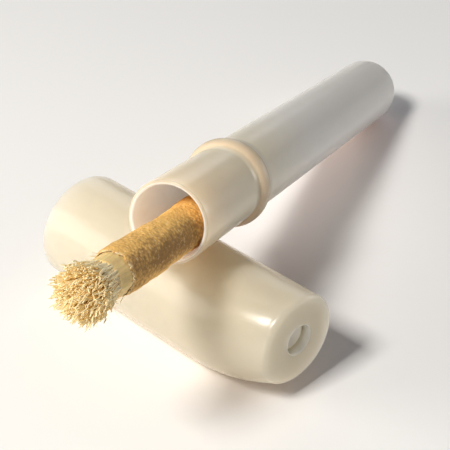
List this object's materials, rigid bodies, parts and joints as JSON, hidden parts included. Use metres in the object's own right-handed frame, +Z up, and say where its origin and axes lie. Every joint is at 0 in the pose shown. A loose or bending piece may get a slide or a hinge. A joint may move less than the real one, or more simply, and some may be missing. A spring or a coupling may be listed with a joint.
{
  "type": "chewing-stick toothbrush with travel case",
  "caption": "Natural twig toothbrush with a frayed fibre end, standing out of a round translucent moulded case, with its loose vented cap beneath.",
  "frame": {"origin": "centre of the base of the bounding box of the whole set as it lies on a table", "axes": "+Z up, +Y level along the case from its mouth to its rear dome, +X to the right of someone who looks along +Y"},
  "size_m": [0.0654, 0.163, 0.0466],
  "materials": {
    "case_plastic": "translucent milky cream polyethylene, soft gloss",
    "bark": "dry golden-brown bark, granular and matt",
    "peeled_wood": "peeled pale wood, fibrous",
    "bristle_fibre": "loose cream-yellow wood fibres"
  },
  "bodies": {
    "tube": {"case_tube": "case_plastic"},
    "cap": {"case_cap": "case_plastic"},
    "stick": {"twig_wood": "peeled_wood", "twig_bark": "bark", "bristles_inner": "bristle_fibre", "bristles_middle": "bristle_fibre", "bristles_outer": "bristle_fibre"}
  },
  "joints": [
    {"name": "stick_slide", "type": "slide", "parent": "tube", "child": "stick", "axis": [0, -0.9751, 0.2219], "range_m": [-0.009, 0.115]},
    {"name": "cap_slide", "type": "slide", "parent": "tube", "child": "cap", "axis": [0.9342, -0.3567, 0], "range_m": [0, 0.048]}
  ]
}
